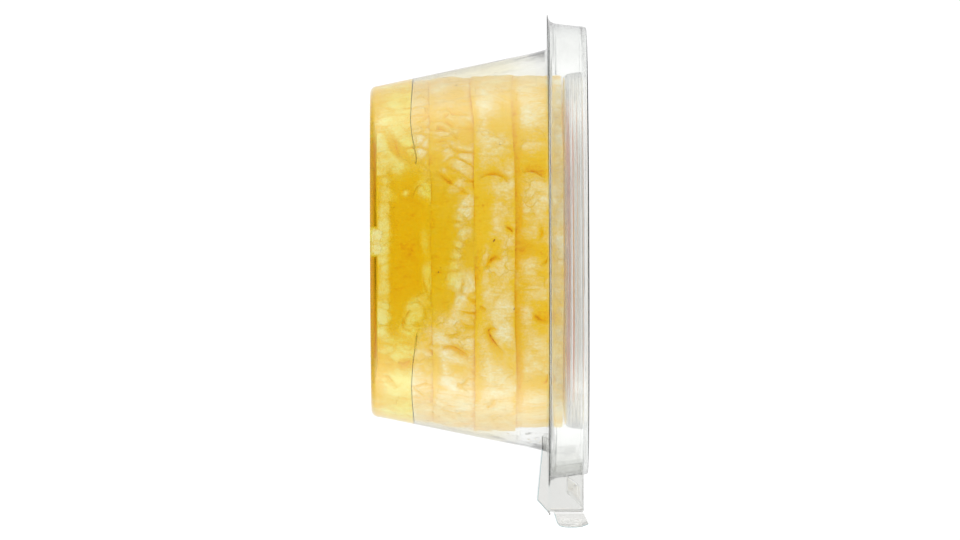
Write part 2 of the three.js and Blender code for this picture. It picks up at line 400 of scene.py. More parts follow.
def clear_sheet_material(name, stretch, strength, tint, with_shade_veil=False):
    """Clear formed sheet with faint waves, longest where stretch is least."""
    graph = new_material(name)
    drawn = graph.noise(graph.vector("MULTIPLY", graph.position(), stretch), 130.0, 2.0)
    surface = graph.get("BsdfPrincipled", {
        "Base Color": tint, "Roughness": 0.02, "IOR": 1.55, "Transmission Weight": 1.0,
        "Normal": graph.bump(drawn, strength, 0.0004)})
    # the lid's sheet can carry a grey veil of painted shade on its front
    if with_shade_veil:
        surface = shade_veiled(graph, surface)
    inside = graph.get("VolumeAbsorption", {"Color": (0.0, 0.55, 0.60, 1.0), "Density": 24.0})
    return graph.finished(Surface=let_light_in(graph, surface, (0.98, 0.985, 0.985, 1.0)), Volume=inside)


def liquid_material(name, ior, colour, density, ripples=0.0):
    """A clear liquid, which is the deeper in colour the further light goes through it."""
    graph = new_material(name)
    look = {"Base Color": WHITE, "Roughness": 0.0, "IOR": ior, "Transmission Weight": 1.0}
    if ripples:
        look["Normal"] = graph.bump(graph.noise(graph.position(), 900.0, 1.0), ripples, 0.0001)
    surface = let_light_in(graph, graph.get("BsdfPrincipled", look), WHITE)
    tint = graph.get("VolumeAbsorption", {"Color": colour, "Density": density})
    return graph.finished(Surface=surface, Volume=tint)


FLESH_COLOURS = (           # by tone, as display colours
    (0.0, (255, 240, 192)), (0.18, (253, 226, 150)), (0.36, (251, 211, 100)), (0.54, (251, 205, 44)),
    (0.72, (252, 202, 4)), (0.86, (244, 176, 2)), (1.0, (210, 122, 8)),
)


def shaded_crease_lines(graph, where):
    """Thin curved creases between soft cells a few millimetres wide, which come and go, darkened as painted
    shade.
    """
    bend = graph.add("TexNoise", {"Vector": where, "Scale": 260.0, "Detail": 2.0}).outputs["Color"]
    bent = graph.vector("ADD", where, graph.vector("MULTIPLY", bend, (0.006, 0.006, 0.006)))
    edge = graph.get("TexVoronoi", {"Vector": bent, "Scale": 170.0}, feature="DISTANCE_TO_EDGE")
    there = graph.remap(graph.noise(where, 120.0, 1.0), 0.42, 0.66)
    pale = graph.remap(graph.tone(), 0.40, 0.62, 1.0, 0.12)
    return graph.times(graph.times(graph.remap(edge, 0.08, 0.0), there), pale)


def flesh_material():
    """Wet flesh that takes its colour from each spot's tone, with mottle, specks, fibres and creases of
    painted shade.
    """
    graph = new_material("pineapple")
    where = graph.position()
    mottle = graph.noise(where, 240.0, 5.0, 0.55)
    speck = graph.noise(where, 1500.0, 2.0, 0.6)
    fibre = graph.noise(graph.vector("MULTIPLY", where, (1.0, 1.0, 0.3)), 1200.0, 3.0, 0.6)
    shaded_crease = shaded_crease_lines(graph, where)
    shade = graph.tone()
    for grain, high, share in ((mottle, 0.72, 0.08), (speck, 0.7, 0.07), (fibre, 0.7, 0.06)):
        shade = graph.plus(shade, graph.remap(grain, 0.3, high, -share, share))
    # painted shade: the creases make the tone golder
    shade = graph.plus(shade, graph.times(shaded_crease, 0.13), clamp=True)
    relief = graph.plus(fibre, graph.times(graph.noise(where, 620.0, 3.0), 0.8))
    relief = graph.math("SUBTRACT", relief, shaded_crease)
    return graph.finished(Surface=graph.get("BsdfPrincipled", {
        "Base Color": graph.ramp(shade, [(place, rgb(*colour)) for place, colour in FLESH_COLOURS]),
        "Roughness": 0.32, "IOR": 1.38, "Subsurface Weight": 0.15,
        "Subsurface Radius": (0.0012, 0.0008, 0.0003), "Subsurface Scale": 1.0,
        "Normal": graph.bump(relief, 0.5, 0.0004)}))


def seed_material():
    """Brown seeds, paler where the flesh clings to them."""
    graph = new_material("seed")
    grain = graph.noise(graph.position(), 2600.0, 3.0)
    colour = graph.colours(graph.remap(grain, 0.35, 0.7), rgb(122, 58, 18), rgb(196, 122, 44))
    return graph.finished(Surface=graph.get("BsdfPrincipled", {
        "Base Color": colour, "Roughness": 0.35, "Normal": graph.bump(grain, 0.3, 0.0001)}))


LABEL_EDGE = (252, 234, 212)
LABEL_FIELDS = (            # as (outer radius, display colour), each printed over the one before
    (40.5, (247, 200, 152)), (38.0, (240, 196, 176)), (25.0, (250, 236, 196)), (18.0, (246, 204, 84)),
    (6.5, (250, 236, 196)),
)
# the plain back's colour: warm peach, a painted reflection of the fruit's golden top
LABEL_BACK_PAINTED_REFLECTION = (252, 222, 186)


def label_material():
    """A printed disc: a pale edge, a coral field and a pale round with a slice on it.

    Its back is plain and painted warm peach, a painted reflection of the golden fruit under it; light also
    passes through the film.
    """
    graph = new_material("label_print")
    where = graph.vector("ADD", graph.position(), (-AXIS_X, 0.0, 0.0))
    x, y, _ = graph.along(where)
    radius = graph.math("SQRT", graph.plus(graph.times(x, x), graph.times(y, y)))
    grain = graph.noise(where, 900.0, 4.0)
    colour = rgb(*LABEL_EDGE)
    for limit, field in LABEL_FIELDS:
        inside = graph.remap(radius, (limit + 0.1) * MM, (limit - 0.1) * MM)
        colour = graph.colours(inside, colour, rgb(*field))
    colour = graph.colours(graph.remap(grain, 0.35, 0.7, 0.0, 0.12), colour, rgb(255, 240, 225))
    up = graph.along(graph.add("NewGeometry").outputs["Normal"])["Z"]
    # the down-facing back takes the painted reflection colour
    colour = graph.colours(graph.math("GREATER_THAN", up, 0.0), rgb(*LABEL_BACK_PAINTED_REFLECTION), colour)
    side = graph.get("BsdfPrincipled", {
        "Base Color": colour, "Roughness": 0.38, "Normal": graph.bump(grain, 0.1, 0.0002)})
    film = graph.shaders(0.5, side, graph.get("BsdfTranslucent", {"Color": rgb(255, 204, 180)}))
    return graph.finished(Surface=let_light_in(graph, film, (1.0, 0.93, 0.86, 1.0)))


# ---- tub and lid ----

def tub_foot(inset):
    """The tub's outside from the axis round the corner at its foot, moved in by inset."""
    corner_radius = wall_radius(BASE_CORNER) - BASE_CORNER
    half = inset / 2
    return [
        (0.0, PANEL_LIFT + inset),
        (PANEL_RADIUS - 0.6 + half, PANEL_LIFT + inset),
        (PANEL_RADIUS + half, PANEL_LIFT - 0.15 + inset),
        (FOOT_INNER_RADIUS - 0.5 + half, 0.2 + inset),
        (FOOT_INNER_RADIUS + half, inset),
        *arc(corner_radius, BASE_CORNER, BASE_CORNER - inset, -90, -12, 8),
    ]


def tub_outside(inset):
    """The tub's outside from the axis to the flange, moved in by inset."""
    under = TUB_FLANGE_TOP - EDGE
    return [
        *tub_foot(inset),
        *[(wall_radius(z) - inset, z) for z in np.linspace(4.0, under - 3.5, 16)],
        *arc(wall_radius(under) + 1.0, under - 1.0, 1.0 + inset * EDGE / SHEET, 168, 90, 5),
    ]


def flange_edge(low, high):
    """The outer edge of a flange between two heights."""
    rim = EDGE / 4
    return [(FLANGE_RADIUS - rim, low), (FLANGE_RADIUS, low + rim),
            (FLANGE_RADIUS, high - rim), (FLANGE_RADIUS - rim, high)]


def mirrored_outline(front, *middle):
    """An outline of (x, y) points that ends as it begins, mirrored to the other side of the tab."""
    return [*front, *middle, *[(x, -y) for x, y in reversed(front)]]


def tab_plate(name, low, high):
    """The flange under or over the tear tab, with rounded outer corners."""
    half, corner = TAB_HALF_WIDTH + TAB_BORDER, 1.8
    bend = arc(TAB_FLANGE_END - corner, corner - half, corner, -90, 0, 6)
    outline = mirrored_outline([(BASE_RADIUS, -half), *bend])
    return lofts(name, [[[(x, y, z) for x, y in outline] for z in (low, high)]])


def trough_outline(inset):
    """The trough under the tear tab, as (x, z), moved in by inset."""
    return [
        (BASE_RADIUS, TROUGH_DEPTH_IN + inset),
        (wall_radius(TROUGH_DEPTH_IN), TROUGH_DEPTH_IN + inset),
        (TROUGH_FLOOR_END - inset / 2, TROUGH_DEPTH_OUT + inset),
        (TAB_OUTER - inset, TUB_FLANGE_TOP - EDGE),
        (TAB_OUTER - inset, TUB_FLANGE_TOP + inset),
        (BASE_RADIUS, TUB_FLANGE_TOP + inset),
    ]


def tub_piece():
    """Bowl and flange, with the trough that hangs under the tear tab."""
    bottom = TUB_FLANGE_TOP - EDGE
    bowl = turned("tub_shell", [
        *tub_outside(0.0),
        *flange_edge(bottom, TUB_FLANGE_TOP),
        *reversed(tub_outside(SHEET)),
    ])
    core = turned("core", [
        *tub_outside(SHEET / 2)[:-1],
        (wall_radius(TUB_FLANGE_TOP), TUB_FLANGE_TOP + SHEET),
        (0.0, TUB_FLANGE_TOP + SHEET),
    ])
    tab = tab_plate("tab", bottom, TUB_FLANGE_TOP)
    trough = slab("trough", trough_outline(0.0), TAB_HALF_WIDTH)
    hollow = slab("hollow", trough_outline(DRAWN), TAB_HALF_WIDTH - DRAWN)
    combine(tab, trough)
    combine(tab, hollow, core, operation="DIFFERENCE")
    return combine(bowl, tab)


def dish_height(r):
    """Height of the dished floor's top."""
    return DISH_MIDDLE + (DISH_EDGE - DISH_MIDDLE) * (r / DISH_RADIUS) ** 2


def dish(drop, radius=DISH_RADIUS):
    """The top of the dished floor from its edge to the axis."""
    return [(r, dish_height(r) - drop) for r in np.linspace(radius, 0.0, DISH_RINGS + 1)]


def skirt(inset):
    """The lid from the foot of its flare to its top, moved in by inset; the grooves are outside only."""
    foot = SKIRT_FOOT_RADIUS - inset
    grooves = []
    for z, depth in GROOVES:
        share = (z - SKIRT_FOOT) / (LID_TOP - SKIRT_FOOT)
        r = foot + (SKIRT_TOP_RADIUS - SKIRT_FOOT_RADIUS) * share
        grooves += [(r, z - GROOVE_HALF), (r - depth * (inset == 0), z), (r, z + GROOVE_HALF)]
    return [
        (foot + 2.1, LID_FLANGE_TOP - inset * EDGE / SHEET),
        (foot + 1.2, LID_FLANGE_TOP + 0.3 - inset * 0.8),
        (foot + 0.55, LID_FLANGE_TOP + 0.95 - inset / 2),
        (foot + 0.12, SKIRT_FOOT - 0.2),
        (foot - 0.05, SKIRT_FOOT + 1.2),
        *grooves,
        *arc(SKIRT_TOP_RADIUS - LID_CORNER, LID_TOP - LID_CORNER, LID_CORNER - inset, 4, 90, 7),
    ]


def recess(thin):
    """The lid's recess from its upper edge, down its ledges and along the dish, moved in by thin."""
    foot = RECESS_RADIUS - len(RECESS_LEDGES) * RECESS_STEP
    ledges = []
    for i, z in enumerate(RECESS_LEDGES):
        outer, level = RECESS_RADIUS - i * RECESS_STEP + thin, z - thin
        ledges += [(outer + 0.04, level + 0.7), (outer, level + 0.15), (outer - 0.1, level - 0.05),
                   (outer - RECESS_STEP, level - RECESS_STEP)]
    return [
        *arc(RECESS_RADIUS + 0.8, LID_TOP - 0.8, 0.8 - thin, 90, 172, 4),
        *ledges,
        *[(DISH_RADIUS + (foot - DISH_RADIUS + thin) * math.cos(a),
           DISH_EDGE - thin + RECESS_FOOT * (1 - math.sin(a))) for a in np.radians(np.linspace(0, 75, 6))],
        *dish(thin),
    ]


def block_box(name, inset, floor):
    """The tab's block: a crowned end, round upright corners and a rounded top edge."""
    corner, crown, half, top = 0.8 - inset, 0.3, TAB_HALF_WIDTH - inset, TAB_TOP - inset
    end = TAB_OUTER - inset - crown
    bend = arc(end - corner, corner - half, corner, -90, -10, 6)
    middle = [(end + crown * (1 - (y / (half - corner)) ** 2), y)
              for y in np.linspace(corner - half, half - corner, 13)[1:-1]]
    outline = mirrored_outline([(RECESS_RADIUS, -half), *bend], *middle)
    rounded = 0.45 - inset
    rings = [[(x, y, floor) for x, y in outline]]
    for a in np.radians(np.linspace(0, 90, 5)):
        inward, z = rounded * (1 - math.cos(a)), top - rounded + rounded * math.sin(a)
        rings.append([(x - inward * (x > RECESS_RADIUS), y * (half - inward) / half, z) for x, y in outline])
    return lofts(name, [rings])


def hatch(name, corner, size, y, pitch, lean, width, height):
    """Peaked, slanting ridges on a face across the tub at y, in a patch of (x, z)."""
    (x0, z0), (long, tall) = corner, size
    slant = tall * math.tan(math.radians(lean))
    outward = math.copysign(1, y)
    section = ((0, -0.1), (width, -0.1), (width, 0), (width / 2, height), (0, 0))
    starts = [x0 + i * pitch for i in range(int((long - slant) / pitch) + 1)]
    return lofts(name, [[[(x + dx + across, y + out * outward, z) for across, out in section]
                         for dx, z in ((0, z0), (slant, z0 + tall))] for x in starts])


def lid_piece():
    """Flange, skirt, recess and tear tab."""
    cap = turned("lid_shell", [
        *flange_edge(LID_FLANGE_BOTTOM, LID_FLANGE_TOP),
        *skirt(0.0), *recess(0.0),
        *reversed([*skirt(SHEET), *recess(DRAWN)]),
    ])
    inside = turned("inside", [
        (0.0, LID_FLANGE_BOTTOM - SHEET),
        (SKIRT_FOOT_RADIUS + 1.4, LID_FLANGE_BOTTOM - SHEET),
        *skirt(SHEET / 2)[1:-1],
        (0.0, LID_TOP - SHEET / 2),
    ])
    tab = block_box("tab_block", 0.0, LID_FLANGE_BOTTOM)
    for side in (-TAB_HALF_WIDTH, TAB_HALF_WIDTH):
        grip = hatch("grip", (65.6, 56.8), (7.6, 3.4), side, pitch=0.62, lean=38, width=0.36, height=0.2)
        brace = hatch("brace", (68.6, 56.6), (5.6, 4.0), side, pitch=9.0, lean=44, width=1.5, height=0.4)
        combine(tab, grip, brace)
    combine(tab, tab_plate("border", LID_FLANGE_BOTTOM, LID_FLANGE_TOP))
    combine(tab, block_box("hollow", DRAWN, LID_FLANGE_BOTTOM - SHEET), inside, operation="DIFFERENCE")
    return combine(cap, tab)


def lip_outline(inset):
    """The lip's section from its foot round the outside to its tip."""
    reach = LIP_REACH - inset
    return [
        (LIP_ROOT, LIP_FOOT + inset), (77.6, 53.3 + inset * 0.9), (78.6, 53.6 + inset * 0.8),
        (79.3 - inset * 0.6, 54.1 + inset * 0.6), (reach - 0.2, 55.0 + inset * 0.3), (reach, 56.6),
        (reach, 59.0), (reach - 0.25, 60.8), (reach - 0.6, 61.9), (reach - 0.95, LIP_TOP),
    ]


def lip_piece():
    """A curved lip that stands off the end of the block, with a scooped back."""
    outline = [*lip_outline(0.0), (78.2, 62.4), (LIP_ROOT, TAB_TOP + 0.1)]
    lip = slab("tear_lip_shell", outline, LIP_HALF_WIDTH)
    scoop = slab("scoop", [
        *lip_outline(DRAWN), (LIP_REACH - 1.1 - DRAWN, LIP_TOP + 1), (LIP_ROOT - 1, LIP_TOP + 1),
        (LIP_ROOT - 1, LIP_FOOT + DRAWN), (LIP_ROOT, LIP_FOOT + DRAWN - 0.1)], LIP_HALF_WIDTH - DRAWN)
    for side in (-LIP_HALF_WIDTH, LIP_HALF_WIDTH):
        ribs = hatch("ribs", (77.9, 55.0), (1.75, 6.0), side, pitch=0.42, lean=4, width=0.14, height=0.1)
        combine(lip, ribs)
    return combine(lip, scoop, operation="DIFFERENCE")


def label_piece():
    """A thin disc that follows the dished floor."""
    under = dish(-LABEL_GAP, LABEL_RADIUS)
    over = dish(-LABEL_GAP - LABEL_THICKNESS, LABEL_RADIUS)
    return turned("label_disc", [*reversed(under), *over])


# ---- fruit ----

FRONT = -math.pi / 2        # the tub's front faces -Y
FRONT_RADIUS = 51           # radius at which the front's x is measured
ANGLE_STEPS = 960
SIDE_ROWS = 60
FACE_ROWS = 12
CORE_ROWS = 8
EDGE_ROUND = 0.8            # height over which a cut edge turns in, and by how much
EDGE_DEPTH = 0.16
WALL_ROOM = 0.4             # least room between flesh and plastic
CORNER_ROOM = 0.3           # the same round the corner at the tub's foot
SCRAP_ROOM = 0.03           # the same for the loose scrap, which is pressed on the wall
SOCKETS = 14                # eye sockets round a slice
RIM_CURL = 1.7              # how far the rim of the top slice bends up
GOLDER_SIDE = 0.03            # how much more golden the flesh is on the -X side

CELL_WIDTH = 4.6            # the cells whose seams run over a slice's side
CELL_HEIGHT = 8.0
CELL_WARP = 1.3
SWELL_DEPTH = 0.36          # how deep swells, seams and strands are, and how much they add to the tone
SEAM_DEPTH = 1.6
STRAND_DEPTH = 0.02
SWELL_TONE = 0.38
SEAM_TONE = 0.9
STRAND_TONE = 0.04
HOLLOW_SINK = 0.6           # shares of their given depths that hollows, folds and lobes get
FOLD_SINK = 0.8
LOBE_RISE = 0.6
SOAKED_TONE = 0.70          # tone of flesh soaked with juice
DEEPEST_TONE = 0.86

# turn is that of the eye sockets, in degrees, shift is towards +X, and cream is the tone of plain flesh.
Slice = namedtuple("Slice", "bottom top radius shift turn lumps sunk cream")
SLICES = (
    Slice(3.4, 17.61, 49.8, 0.0, 4, 0.35, 0.2, 0.27),
    Slice(17.62, 29.68, 51.2, 0.2, -4, 0.4, 0.45, 0.30),
    Slice(29.69, 41.69, 52.0, 0.6, 14, 0.14, 0.45, 0.34),
    Slice(41.70, 53.7, 51.5, 0.2, 12, 0.16, 0.45, 0.34),
)

# How the face under the first slice, the three joints and the top face wander at the front, as (x, rise).
JOINTS = (
    ((-50, 0), (50, 0)),
    ((-50, -0.4), (-36, -0.3), (-28, -0.6), (-20, 0), (20, 0.2), (32, 0.4), (50, 0.3)),
    ((-50, -0.8), (-44, -0.5), (-36, 0.3), (-12, 0.3), (0, 0.1), (14, 0.7), (26, 0.4), (50, 0.3)),
    (
        (-50, -0.8), (-42, -0.8), (-32, -0.4), (-22, 0), (-8, 0.1), (12, -0.3), (22, -0.2), (36, 0.3),
        (50, 0.1),
    ),
    ((-50, -0.2), (-20, 0.1), (10, 0), (50, -0.1)),
)

# Painted shade along the joint under each slice at the front: how golden the flesh turns there, as (x,
# share).
JOINT_SHADE_GOLD = (
    ((-50, 0), (50, 0)),
    (
        (-48, 0.2), (-42, 0.9), (-30, 0.8), (-22, 0.9), (-8, 0.5), (10, 0.3), (26, 0.3), (32, 0.9),
        (38, 0.8), (48, 0.2),
    ),
    ((-50, 0.3), (-44, 0.8), (-34, 0.7), (-20, 0.9), (-4, 0.8), (12, 0.3), (22, 0.6), (36, 0.5), (50, 0.2)),
    (
        (-47, 0.2), (-43, 1), (-24, 0.9), (-14, 1), (-2, 0.7), (8, 0.2), (22, 0.4), (30, 0.9), (40, 1),
        (48, 0.3),
    ),
)

# Folds in the flesh at the front of each slice, as (points, fade, depth, gold). The points are (x, z). The
# flesh falls away over the fade, on the left of the way from first to last point or, where the fade is
# negative, on the right, and ends at a sharp lip on it, which is darkened with painted shade.
FOLDS = (
    (
        (((-25, 11.1), (-27.5, 9.1), (-31.9, 7.9), (-34.7, 5.9)), 2.2, 1.3, 0.75),
        (((-17.3, 16.7), (-18.9, 14.8), (-17.6, 13.2), (-14.9, 12.1)), 2.4, 2.6, 1),
        (((3.2, 17.1), (8.2, 15.2), (12.5, 16.7)), 2.4, 2.6, 0.9),
        (((12.7, 14.8), (17.1, 11.4), (22.1, 9.4), (23.6, 11.8)), 2.6, 2.8, 1),
        (((31.9, 11.8), (33.3, 9.6), (32.7, 8)), 1.8, 1.8, 0.8),
        (((40.4, 8), (38.4, 6.1), (36.9, 5.1)), 1.6, 1.6, 0.7),
    ),
    (
        (((-39.5, 28.4), (-39.8, 25.2), (-41.5, 22.7), (-41.4, 20.3)), 1.3, 0.9, 0.5),
        (((-31.4, 27.1), (-33.9, 23.8), (-35.9, 20.7), (-36, 19.1)), 2.2, 1.8, 0.9),
        (((-28.4, 29), (-29, 24.8), (-31, 22.5), (-30.8, 19.3)), 1.4, 1.4, 0.7),
        (((-20.2, 28.8), (-22.8, 25), (-24.8, 22.3)), 2, 1.8, 0.9),
        (((-15.9, 28.2), (-18.7, 24.2), (-21.2, 22.3), (-23.6, 19.1)), 2.6, 2.2, 1),
        (((22.6, 25.6), (24.3, 23.3), (24.1, 20.9)), 1, 0.8, 0.4),
        (((28.5, 20.5), (28.1, 23.3), (29.1, 25.8), (30.4, 28)), 2, 2, 0.85),
        (((36.6, 27.4), (38.6, 25.6), (37.8, 24.4)), 1.2, 0.9, 0.6),
    ),
    (
        (((-20.3, 31.2), (-21.8, 33.5), (-21.9, 36.1), (-21, 38.2), (-19, 39.7)), 1.7, 1.7, 0.75),
        (((-6.8, 38.9), (-6.2, 40.2), (-5.2, 41.3)), 0.9, 1.6, 0.85),
        (((2.4, 37.9), (2.2, 35.7), (3.3, 34.1), (5.1, 33.4)), -2.4, 1.9, 0.85),
        (((22, 35.9), (22.8, 34), (24.8, 34.6), (27.4, 36.4), (29.3, 38.5)), -2.4, 1.5, 0.8),
        (((15.7, 31), (16.6, 32.9)), -1.3, 1.5, 0.85),
        (((42, 35.3), (44.2, 34.3), (44.8, 32.7)), -1.4, 0.8, 0.5),
    ),
    (
        (((-23, 43.5), (-23.5, 45.5), (-23, 47.1), (-21.4, 48.6)), 4, 2.3, 0.95),
        (((-7.8, 47.7), (-4.8, 48), (-2.4, 47.2)), -1.4, 1.3, 0.8),
        (((4.6, 48.1), (3.1, 49.5), (1.9, 50.6)), 1.6, 1.5, 0.85),
        (((17.2, 46), (19.4, 47.1), (20.8, 48.5), (20.9, 51.5)), 3.2, 1.9, 0.9),
        (((35.6, 50.2), (37.8, 49.9), (39, 48.1)), -2.4, 1.6, 0.85),
        (((11, 50.5), (11.4, 46), (11.7, 42.6)), 0.35, 0.35, 0.3),
    ),
)

# Hollows full of juice at the front of each slice, as (x, z, half width, half height, lean, depth, gold).
HOLLOWS = (
    (
        (-1.7, 11.2, 18.5, 5.2, 0, 2.6, 1), (9.7, 9, 12, 3.2, -6, 2.4, 1),
        (-12.1, 14.2, 5, 2.6, 30, 1.8, 0.9), (-28.6, 9.6, 3, 1.4, 35, 1, 0.8),
        (-32.4, 6.9, 3.2, 1, 18, 1.1, 0.7), (32.7, 10.4, 1.6, 1.8, 10, 1, 0.7),
        (-24, 5.5, 3.2, 1.8, 0, 0.8, 0.6), (3.7, 16.3, 6, 1.2, 0, 1.2, 0.8),
    ),
    (
        (-15.6, 22.1, 4.6, 3.2, 40, 2, 0.95), (-3.7, 21.1, 12, 2.6, -6, 2.2, 1),
        (14.6, 20.7, 5, 2.4, -10, 2, 1), (-33.5, 27, 3, 3, 20, 1.6, 0.85),
        (-45, 23.8, 1.6, 2.6, 0, 0.8, 0.5), (1.3, 28.4, 6, 1.6, -12, 1.6, 0.9),
        (34.1, 24.8, 1.5, 3.2, -22, 1, 0.7), (34.3, 18.6, 3, 1.3, 0, 1, 0.75),
        (-27, 19.7, 4, 1.4, -10, 1, 0.8),
    ),
    (
        (-9.6, 31.9, 8.8, 2.6, -4, 1.4, 1), (2.7, 30.8, 5.4, 1.7, -10, 1.4, 0.95),
        (-35.9, 36.5, 2.6, 2.4, 0, 0.7, 0.55), (-1.8, 35.9, 2.2, 1.6, 20, 1, 0.75),
        (-5.8, 40.3, 0.8, 1.2, 0, 0.9, 0.8), (-38.9, 39.8, 3, 1.2, 0, 0.5, 0.4),
    ),
    (
        (-1, 45, 2.4, 3.4, 10, 1.9, 1), (0.4, 48.5, 1.9, 1.9, -40, 1.4, 0.9),
        (-39.5, 42.4, 6.6, 1, 0, 0.9, 0.8), (-11.6, 42.7, 4.2, 0.8, 0, 0.7, 0.7),
        (39.2, 47, 2, 3.6, 12, 1.3, 0.8), (35.5, 42.4, 7, 1, 2, 0.8, 0.75),
        (15.8, 49.5, 1, 2.2, 0, 0.7, 0.6), (18.6, 50.1, 2.2, 1.8, 30, 1.1, 0.8),
        (-28, 42.6, 5, 0.8, 0, 0.6, 0.7),
    ),
)

# Pale lobes that press against the plastic, as (x, z, half width, half height, lean in degrees, rise).
LOBES = (
    (
        (-17.3, 16.1, 2.3, 2.9, -25, 1.6), (-16.9, 10.4, 1, 1.2, 20, 1.5), (-25.3, 8, 2.3, 2.3, 20, 1.5),
        (7.7, 16.9, 4.6, 2, 6, 1.8), (16, 13.4, 4.2, 2.4, -38, 1.8), (21.4, 10.6, 2.6, 1.8, -20, 1.4),
        (-8.2, 4.8, 16, 1.5, 0, 1.2), (13.6, 4.7, 13, 1.4, 0, 1.2), (29.9, 8.4, 1.8, 3.4, 12, 1),
        (-38.4, 7.4, 5, 3.2, 20, 0.8), (39.4, 8.8, 4.5, 3, -20, 0.8), (-2.4, 15.6, 3.6, 1.2, 6, 0.9),
    ),
    (
        (-18.9, 25, 1.5, 3, 40, 1.3), (-11.3, 26.4, 3.6, 2.2, -12, 1.1), (9.5, 26.8, 4.2, 2.8, 0, 1.2),
        (1.8, 24.6, 8.5, 1.5, -14, 0.9), (20.4, 21.9, 1.9, 3.6, -8, 1), (14.1, 25.2, 5, 1.8, -10, 0.9),
        (-30.2, 22.7, 1.2, 3.6, 14, 0.7), (-34.3, 22.3, 1.2, 3.2, 12, 0.7),
        (-22.6, 25.4, 1.4, 2.8, -14, 0.6),
    ),
    (
        (2.2, 32.9, 3, 1.2, -16, 0.8), (5.1, 38.8, 3.4, 2.6, 0, 0.5), (-17.9, 35.5, 2.2, 4.2, 0, 0.5),
        (23.1, 38.1, 2.6, 2.4, 0, 0.6), (37.4, 36.9, 4, 3, 0, 0.4), (-43.4, 32.9, 2, 2.4, 0, 0.5),
        (13.5, 37.2, 5, 3.4, 0, 0.1), (12.5, 33, 5.5, 1.6, 0, 0), (32, 32.6, 9, 2, 4, 0),
        (-30.5, 37.4, 3.4, 3.6, 0, 0.2), (-33, 32.6, 6.5, 1.9, 0, 0),
    ),
    (
        (-4.8, 45.6, 2.6, 2.6, 30, 0.7), (3.3, 45.8, 2.4, 2.8, -20, 0.6), (19, 45, 3.6, 1.6, 4, 0.5),
        (-31, 45.8, 1.4, 3, 0, 0.5), (42, 47.9, 2, 3.4, 0, 0.5), (-38.4, 47.1, 3.6, 3, 0, 0.4),
        (11, 47.4, 4.6, 2.8, 0, 0), (29.5, 47, 5, 2.8, 0, 0), (-14.5, 47.4, 5.6, 2.6, 0, 0),
    ),
)


PATH_STEPS = 5
FOLD_LIP = 0.8              # width of a fold's steep side


def smooth_path(points):
    """More points along a smooth curve through the given ones."""
    points = np.array(points)
    ends = [2 * points[0] - points[1], *points, 2 * points[-1] - points[-2]]
    t = np.arange(PATH_STEPS)[:, None] / PATH_STEPS
    spans = [0.5 * (2 * b + (c - a) * t + (2 * a - 5 * b + 4 * c - d) * t ** 2
                    + (3 * b - 3 * c + d - a) * t ** 3)
             for a, b, c, d in zip(ends, ends[1:], ends[2:], ends[3:])]
    return np.concatenate([*spans, points[-1:]])


def fold_shape(u, z, points, fade):
    """How far into a fold each spot lies, 0 to 1: a long ramp on one side, a sharp lip on the other."""
    path = smooth_path(points)
    near = np.full(u.shape, 1e9)
    across, along = np.zeros(u.shape), np.zeros(u.shape)
    for i, (a, b) in enumerate(zip(path, path[1:])):
        step = b - a
        length = math.hypot(*step)
        t = np.clip(((u - a[0]) * step[0] + (z - a[1]) * step[1]) / length ** 2, 0, 1)
        du, dz = u - a[0] - t * step[0], z - a[1] - t * step[1]
        gap = np.hypot(du, dz)
        closer = gap < near
        near = np.where(closer, gap, near)
        across = np.where(closer, np.copysign(gap, step[0] * dz - step[1] * du), across)
        along = np.where(closer, (i + t) / (len(path) - 1), along)
    across *= math.copysign(1, fade)
    ramp = np.where(across > 0, 1 - across / abs(fade), 1 + across / FOLD_LIP)
    taper = np.clip(4 * along * (1 - along), 0, 1) ** 0.5
    return np.clip(ramp, 0, 1) ** 1.4 * taper


def patch_shape(u, z, x, level, half_width, half_height, lean, ragged, blur=1.0):
    """An oval patch with an uneven, soft edge, 0 to 1."""
    c, s = math.cos(math.radians(lean)), math.sin(math.radians(lean))
    du, dz = u - x, z - level
    far = np.hypot((du * c + dz * s) / half_width, (dz * c - du * s) / half_height)
    soft = blur * min(0.95, 0.35 + 1.5 / min(half_width, half_height))
    return 1 - ease_between(far + 0.25 * ragged, 1.05 - soft, 1.05 + soft)


def either(a, b):
    """Two shares joined so that the result never passes 1."""
    return 1 - (1 - a) * (1 - b)


def falloff(distance, width, power=1):
    """1 at no distance, and ever less away from there."""
    return np.exp(-(distance / width) ** power)


def front_x(turn, radius=FRONT_RADIUS):
    """How far along the front each angle lies, on a given radius."""
    return np.sin(turn - FRONT) * radius


def joint_lift(joint, turn):
    """How far a joint between slices, or the face at an end, wanders from its level round the tub."""
    wander = 0.16 * np.sin(3 * turn + 1.7 * joint) + 0.10 * np.sin(7 * turn + 2.9 * joint)
    front = ease_between(np.cos(turn - FRONT), -0.1, 0.3)
    lift = np.interp(front_x(turn), *zip(*JOINTS[joint]))
    return front * (lift + 0.3 * wander) + (1 - front) * wander


def cells(u, z, around, seed):
    """Distances to the nearest and next nearest of scattered points, over a strip that closes on itself."""
    columns = max(3, round(around / CELL_WIDTH))
    gu, gz = u / around * columns, z / CELL_HEIGHT
    cu, cz = np.floor(gu).astype(np.int64), np.floor(gz).astype(np.int64)
    first, second = np.full(u.shape, 9.0), np.full(u.shape, 9.0)
    for du in (-1, 0, 1):
        for dz in (-1, 0, 1):
            cell = np.stack([(cu + du) % columns, cz + dz, 0 * cz], -1)
            pu = cu + du + 0.5 + 0.42 * lattice_value(cell, seed)
            pz = cz + dz + 0.5 + 0.42 * lattice_value(cell, seed + 7)
            far = np.hypot(gu - pu, gz - pz)
            second = np.minimum(second, np.maximum(first, far))
            first = np.minimum(first, far)
    return first, second


